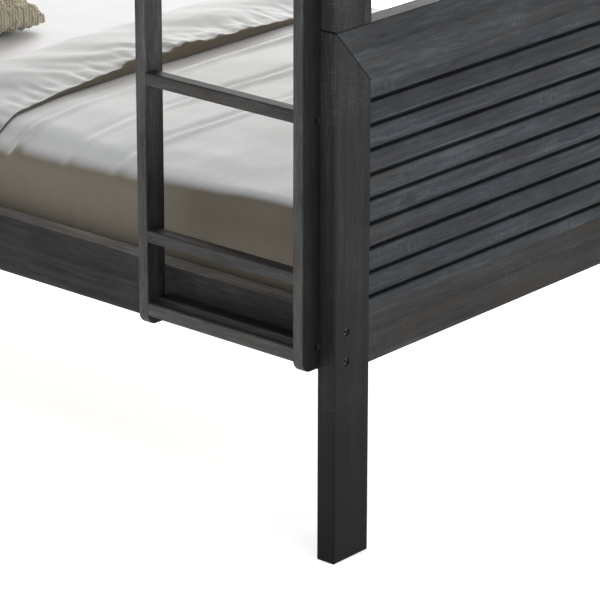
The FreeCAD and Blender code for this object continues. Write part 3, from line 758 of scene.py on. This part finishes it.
@dataclass
class Duvet:
    """A quilt over the mattress, its head end folded back into a padded band with a stitched hem."""
    bunk: str
    body: str
    seed: float
    wall: float = 8 * MM
    rounding: float = 26 * MM
    fold_rise: float = 28 * MM
    cell: float = 6.5 * MM
    crease_places: tuple[float, ...] = (0.243, 0.374, 0.483)
    crease_depths: tuple[float, ...] = (7.0 * MM, 5.4 * MM, 4.2 * MM)
    crease_width: float = 8.5 * MM
    crease_wander: float = 6 * MM
    hem_dip: float = 2.2 * MM
    hem_dip_x: float = 0.218
    hem_dip_width: float = 13 * MM
    top_swells: Wrinkles = ((3.0 * MM, (0.13, 0.19, 0.2), 0), (1.2 * MM, (0.05, 0.06, 0.1), 0))
    side_wrinkles: Wrinkles = ((2.8 * MM, (0.060, 0.3, 0.30), 5), (1.6 * MM, (0.022, 0.3, 0.14), 8))
    fold_depth: float = 8 * MM
    fine_fold_depth: float = 4 * MM
    pucker_depth: float = 4.8 * MM

    def build(self, material: Material) -> None:
        """Build the quilt and its turned-back band, and let them stand for the CAD cap.

        Args:
            material: The cover's cotton.
        """
        low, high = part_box(f"{self.bunk}_duvet")
        for piece in (self._quilt(low, high), self._band(low, high)):
            dress(piece, material)
            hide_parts(f"{self.bunk}_duvet")
            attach(piece, self.body)
        log.info("made the %s duvet", self.bunk)

    def _crease(self, p: Vector, front: float) -> float:
        """Height of the folded-linen creases that run across the quilt.

        Args:
            p: A point on the quilt.
            front: The y of the quilt's front face.

        Returns:
            The lift in metres.
        """
        lift = -self.hem_dip * math.exp(-((p.x - self.hem_dip_x) / self.hem_dip_width) ** 2)
        for number, (place, depth) in enumerate(zip(self.crease_places, self.crease_depths)):
            wander = self.crease_wander * math.sin(p.y * 7 + number * 2.4 + self.seed)
            away = (p.x - place - wander) / self.crease_width
            strength = 0.65 + 0.35 * math.sin(p.y * 9 + number * 1.7)
            lift += depth * strength * (math.exp(-(away - 0.9) ** 2) - 1.1 * math.exp(-(away + 0.8) ** 2))
        return lift * ramp(p.y - front, -0.02, 0.03)

    def _quilt(self, low: Vector, high: Vector) -> Object:
        """Shape the cap that covers the mattress.

        Args:
            low: Lowest corner of the CAD cap.
            high: Highest corner of the CAD cap.

        Returns:
            The quilt.
        """
        top = high.z - self.fold_rise
        head = low.x + 0.05
        cells = tuple(int(size / self.cell) for size in (high.x - head, high.y - low.y, top - low.z))
        shell_low = Vector((head - 0.1, low.y + 0.003, low.z - 0.05))
        shell_high = Vector((high.x - 0.003, high.y - 0.003, top - 0.001))
        bm = soft_block(shell_low, shell_high, self.rounding, cells, 5)
        for limit, normal in (((head, 0, 0), (-1, 0, 0)), ((0, 0, low.z), (0, 0, -1))):
            bmesh.ops.bisect_plane(bm, geom=bm.verts[:] + bm.edges[:] + bm.faces[:], dist=1e-6,
                                   plane_co=limit, plane_no=normal, clear_outer=True)
        centre = (low.y + high.y) / 2
        half = (high.y - low.y) / 2

        def settle(p: Vector) -> Vector:
            up = ramp(p.z, top - 0.03, top)
            out = 1 - ramp(p.z, top - 0.045, top - 0.002)
            height = ramp(p.z, low.z + 0.02, top)
            swell = wrinkles(p, self.top_swells, self.seed) + self._crease(p, low.y)
            drop = SLUMP.drop(p, low.y, height)
            side = wrinkles(p, self.side_wrinkles, self.seed) - 0.0015
            side *= out * (0.4 + 0.6 * ramp(top - p.z, 0.02, 0.12))
            p.z += up * swell - drop
            if abs(p.y - centre) > half - 0.04:
                p.y += math.copysign(side, p.y - centre)
            if p.x > high.x - 0.04:
                p.x += 0.0025 * ripple(p, (0.2, 0.06, 0.3), self.seed + 9) * out - 0.002 * out
            return p

        reshape(bm, settle)
        quilt = finish_piece(bm, f"{self.bunk}_duvet_quilt")
        wall = quilt.modifiers.new("wall", "SOLIDIFY")
        wall.thickness = self.wall
        wall.offset = -1.0
        return quilt

    def _band(self, low: Vector, high: Vector) -> Object:
        """Shape the padded band that is folded back over the quilt.

        Args:
            low: Lowest corner of the CAD cap.
            high: Highest corner of the CAD cap.

        Returns:
            The band.
        """
        top = high.z - self.fold_rise
        centre, half = (low.y + high.y) / 2, (high.y - low.y) / 2
        girth = half + (top - low.z) * 0.9
        # From under the roll at the head side, up and over the band, down the hem and back under it.
        path = [(60, -28.5), (30, -28.3), (12, -27.5), (3, -22), (0, -14), (1, -4), (6, 8), (16, 18),
                (32, 24.5), (55, 27.5), (85, 28), (115, 26.5), (145, 25), (165, 24.5), (176, 24), (182, 22),
                (185.5, 18), (186, 12), (185.5, 6), (184, 1.5), (181, -0.5), (170, -1), (150, -1)]
        bm = bmesh.new()
        bmesh.ops.create_grid(bm, x_segments=3 * (len(path) - 1), y_segments=int(2 * girth / (6 * MM)),
                              size=0.5)

        def drape(p: Vector) -> Vector:
            across, along = (p.x + 0.5) * (len(path) - 1), p.y * 2 * girth
            i = min(int(across), len(path) - 2)
            f = across - i
            x = (path[i][0] * (1 - f) + path[i + 1][0] * f) * MM
            lift = (path[i][1] * (1 - f) + path[i + 1][1] * f) * MM
            near_hem = ramp(x, 0.05, 0.175)
            upper = ramp(across, 5.0, 8.0) * (1 - ramp(across, 14.2, 16.5))
            lower = 1 - ramp(across, 17.0, 19.0)
            q = Vector((x, along, 0.0))
            slant = Vector((x - 0.8 * along, along + 0.5 * x, 0.0))
            folds = self.fold_depth * ripple(slant, (0.060, 0.20, 1.0), self.seed + 2)
            folds *= 0.5 + 0.5 * ramp(x, 0.03, 0.10)
            fine = self.fine_fold_depth * ripple(slant, (0.026, 0.11, 1.0), self.seed + 4)
            folds += fine * ramp(x, 0.05, 0.12)
            pucker = self.pucker_depth * ripple(q, (0.10, 0.013, 1.0), self.seed + 6) * near_hem ** 3
            lift += upper * (folds + pucker - 0.002)
            # The hem is thinnest where it runs out at the bed's two edges.
            plump = 0.30 + 0.70 * ramp(half - abs(along), 0.10, 0.38)
            lift *= 1 - (1 - plump) * near_hem
            lift += upper * pucker * (1 - plump)
            x -= 0.022 * (1 - ramp(x, 0.0, 0.08))
            x += 0.0012 * ripple(q, (1.0, 0.02, 1.0), self.seed) * ramp(across, 12, 15) * lower
            x += 0.005 * ripple(q, (1.0, 0.25, 1.0), self.seed + 3) * ramp(across, 8, 14)
            out = abs(along)
            bend = self.rounding + 0.006
            flat = half - bend
            if out < flat:
                y, z, normal = out, top, (0.0, 1.0)
            elif out < flat + bend * math.pi / 2:
                a = (out - flat) / bend
                normal = (math.sin(a), math.cos(a))
                y, z = flat + bend * normal[0], top - bend + bend * normal[1]
            else:
                y, z, normal = half, top - bend - (out - flat - bend * math.pi / 2), (1.0, 0.0)
            lift *= 1 - 0.72 * normal[0]
            y_out = y + normal[0] * lift - 0.006 * normal[0]
            placed = Vector((low.x + x, centre + math.copysign(y_out, along), z + normal[1] * lift))
            placed.z -= SLUMP.drop(placed, low.y, ramp(placed.z, low.z + 0.02, top))
            return placed

        reshape(bm, drape)
        return finish_piece(bm, f"{self.bunk}_duvet_fold", 1)


@dataclass
class Mattress:
    """A foam mattress in a fitted sheet, soft at its worn front edge."""
    bunk: str
    body: str
    seed: float
    rounding: float = 22 * MM

    def build(self, material: Material) -> None:
        """Build the mattress and let it stand for the CAD block.

        Args:
            material: The sheet's cotton.
        """
        low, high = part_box(f"{self.bunk}_mattress")
        bm = soft_block(low, high, self.rounding, (90, 46, 8), 4)

        def settle(p: Vector) -> Vector:
            height = (p.z - low.z) / (high.z - low.z)
            waist = 0.003 * math.sin(math.pi * height)
            drop = SLUMP.drop(p, low.y - 0.008, ramp(height, 0.1, 1.0)) + 0.002
            for axis, size in ((0, high.x - low.x), (1, high.y - low.y)):
                middle = (low[axis] + high[axis]) / 2
                if abs(p[axis] - middle) > size / 2 - 0.03:
                    p[axis] -= math.copysign(waist + 0.0008 * (1 + ripple(p, (0.12, 0.12, 0.3), self.seed)),
                                             p[axis] - middle)
            if height > 0.8:
                p.z += 0.0012 * ripple(p, (0.2, 0.16, 1.0), self.seed) - 0.0013
            p.z -= drop
            return p

        reshape(bm, settle)
        piece = finish_piece(bm, f"{self.bunk}_mattress_in_sheet", 1)
        dress(piece, material)
        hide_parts(f"{self.bunk}_mattress")
        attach(piece, self.body)
        log.info("made the %s mattress", self.bunk)


@dataclass
class Cushion:
    """A filled cover: a pillow, or the knitted cushion with its cables."""
    node: str
    name: str
    body: str
    slot: str
    fill: float
    voxel: float
    cap: float
    pressure: float = 4.0
    corner: float = 0.03
    shift: tuple[float, float] = (0.0, 0.0)
    cables: bool = False
    cable_pitch: float = 30 * MM
    cover_share: float = 0.97
    edge_power: float = 2.6
    rim: float = 0.16
    crown_rise: float = 0.72
    crown_power: float = 0.42
    pinch: float = 0.045
    underside: float = 0.18

    def build(self, material: Material) -> None:
        """Build the cushion and let it stand for its CAD block.

        Args:
            material: The cover's fabric.
        """
        low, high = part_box(self.node)
        aside = Vector((*self.shift, 0.0))
        low, high = low + aside, high + aside
        middle, half = (low + high) / 2, (high - low) / 2
        bm = bmesh.new()
        bmesh.ops.create_cube(bm, size=2.0)
        bmesh.ops.subdivide_edges(bm, edges=bm.edges[:], cuts=24, use_grid_fill=True)

        def crown(p: Vector) -> Vector:
            u, v, w = p
            edge = max(0.0, (1 - abs(u) ** self.edge_power) * (1 - abs(v) ** self.edge_power))
            thick = half.z * (self.rim + self.crown_rise * edge ** self.crown_power)
            corner = 1 - self.corner * abs(u * v) ** 4
            pinch = corner - self.pinch * (1 - abs(v) ** 2) * abs(u) ** 3
            pinch_v = corner - self.pinch * (1 - abs(u) ** 2) * abs(v) ** 3
            flat = self.underside if w < 0 else 0.0
            z = w * thick * (1 - flat * edge)
            sag = -half.z + thick * (1 - flat * edge)
            lift = (half.z * 0.10) * (abs(u * v)) ** 2
            return Vector((middle.x + u * half.x * self.cover_share * pinch,
                           middle.y + v * half.y * self.cover_share * pinch_v,
                           middle.z + z + sag * 0.9 + lift))

        reshape(bm, crown)
        piece = finish_piece(bm, self.name)
        margin = Vector((2 * MM,) * 3)
        inflate(piece, self.voxel, self.pressure, self.cap, low + margin, high - margin)
        if self.cables:
            self._knit(piece, low, high)
        smoother = piece.modifiers.new("smooth", "SUBSURF")
        smoother.levels = smoother.render_levels = 1
        dress(piece, material)
        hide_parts(self.node)
        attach(piece, self.body)
        log.info("made the %s", self.name)

    def _knit(self, piece: Object, low: Vector, high: Vector) -> None:
        """Raise leaf-shaped cables in ribs over the upper side.

        Args:
            piece: The cushion, changed in place.
            low: Lowest corner of its CAD block.
            high: Highest corner of its CAD block.
        """
        middle = (low + high) / 2
        normals = [v.normal.copy() for v in piece.data.vertices]
        for vertex, normal in zip(piece.data.vertices, normals):
            p = vertex.co
            # The ribs run towards the foot and fan out a little over the cushion's end.
            fan = 1 + 0.35 * (p.x - middle.x)
            column = (p.y - middle.y + 0.25 * (p.x - middle.x)) / (self.cable_pitch * fan)
            u = column - math.floor(column) - 0.5
            phase = (p.x - 0.9 * p.z) / 0.026 + math.floor(column) * 2.1
            swing = 0.17 + 0.13 * math.cos(2 * phase)
            leaf = math.exp(-((abs(u) - swing) / 0.10) ** 2)
            groove = math.exp(-((abs(u) - 0.5) / 0.07) ** 2)
            vertex.co = p + normal * (0.0055 * leaf - 0.0025 * groove - 0.005)
        for vertex in piece.data.vertices:
            vertex.co = Vector([min(max(c, a), b) for c, a, b in zip(vertex.co, low, high)])


@dataclass
class Bedding:
    """Everything soft on the two bunks."""

    def build(self) -> None:
        """Build both made-up mattresses."""
        sheet, cover, pillow, knit = (f.material() for f in (SHEET_COTTON, DUVET_COTTON, PILLOW_COTTON, KNIT))
        for number, bunk in enumerate(("lower", "upper")):
            body = f"{bunk}_bedding"
            Mattress(bunk, body, 1.7 + number).build(sheet)
            Duvet(bunk, body, 4.2 + 2.9 * number).build(cover)
            Cushion(f"{bunk}_pillow", f"{bunk}_pillow_in_case", body, "pillow_cotton", 0.7, voxel=9 * MM,
                    cap=22 * MM).build(pillow)
        Cushion("knit_cushion", "cable_knit_cushion", "lower_bedding", "cushion_knit", 0.8, voxel=3.5 * MM,
                cap=10 * MM, corner=0.05, shift=(14 * MM, 12 * MM), cables=True).build(knit)


# ---------------------------------------------------------------- the studio

@dataclass
class Studio:
    """A pale floor, soft lights and the camera."""
    camera_from_corner: tuple[float, float, float] = (3.156, -3.730, 2.225)
    yaw: float = 40.85
    pitch: float = -20.11
    roll: float = 0.09
    lens: float = 208.0

    def build(self) -> None:
        """Build the floor, the lights and the camera."""
        self._floor()
        self._light("overhead", (0.4, -0.6, 4.2), (0.0, 0.0, 0.6), size=3.4, power=95)
        self._light("foot_end", (4.6, -0.4, 2.6), (0.9, 0.0, 0.7), size=2.4, power=40)
        self._light("rear_window", (-2.0, 3.4, 2.1), (0.2, 0.0, 0.55), size=2.2, power=215)
        world = bpy.data.worlds.new("studio_dome")
        bpy.context.scene.world = world
        world.use_nodes = True
        world.node_tree.nodes.clear()
        sky = add_node(world.node_tree, "Background", {"Color": linear("#fbfcff"), "Strength": 0.62})
        add_node(world.node_tree, "OutputWorld", links={0: sky})
        bpy.context.scene.view_settings.view_transform = "Standard"
        self._camera()
        log.info("set up the studio")

    def _floor(self) -> None:
        """Lay the floor, which isn't part of the bed."""
        bm = bmesh.new()
        bmesh.ops.create_grid(bm, x_segments=1, y_segments=1, size=30.0)
        floor = finish_piece(bm, "studio_floor")
        material, add, place = fresh_material("pale_painted_floor")
        cloud = add("TexNoise", {"Scale": 0.7, "Detail": 2.0}, {"Vector": place})
        colour = add("ValToRGB", {"stops": [(0.3, "#f6f7f8"), (0.7, "#fbfbfc")]}, {0: cloud})
        shader = add("BsdfPrincipled", {"Roughness": 0.9, "Emission Color": linear("#f1f6ff"),
                                                        "Emission Strength": 0.47}, {"Base Color": colour})
        add("OutputMaterial", links={0: shader})
        dress(floor, material)

    def _light(self, name: str, place: tuple[float, float, float], target: tuple[float, float, float],
               size: float, power: float) -> None:
        """Hang one square soft light.

        Args:
            name: The light's name.
            place: Where it hangs.
            target: What it points at.
            size: Its side.
            power: Its power in watts.
        """
        data = bpy.data.lights.new(name, "AREA")
        data.size = size
        data.energy = power
        light = bpy.data.objects.new(name, data)
        light.location = place
        light.rotation_euler = (Vector(target) - Vector(place)).to_track_quat("-Z", "Y").to_euler()
        bpy.context.scene.collection.objects.link(light)

    def _camera(self) -> None:
        """Place the camera by its distance from the near post's foot."""
        low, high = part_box("lower_foot_post_front")
        corner = Vector((high.x, low.y, 0.0))
        data = bpy.data.cameras.new("camera")
        data.sensor_width = 36.0
        data.lens = self.lens
        data.clip_end = 60.0
        camera = bpy.data.objects.new("camera", data)
        camera.location = corner + Vector(self.camera_from_corner)
        yaw, pitch = math.radians(self.yaw), math.radians(self.pitch)
        look = Vector((-math.sin(yaw) * math.cos(pitch), math.cos(yaw) * math.cos(pitch), math.sin(pitch)))
        turn = look.to_track_quat("-Z", "Y") @ Euler((0.0, 0.0, math.radians(self.roll))).to_quaternion()
        camera.rotation_euler = turn.to_euler()
        bpy.context.scene.collection.objects.link(camera)
        bpy.context.scene.camera = camera


def main() -> None:
    """Dress the wooden bed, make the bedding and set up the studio."""
    nodes = frame["nodes"]
    for part in (EndFrames(), Sides(), Ladder(), Hardware()):
        part.dress(nodes)
    Bedding().build()
    Studio().build()


if __name__ == "__main__":
    main()
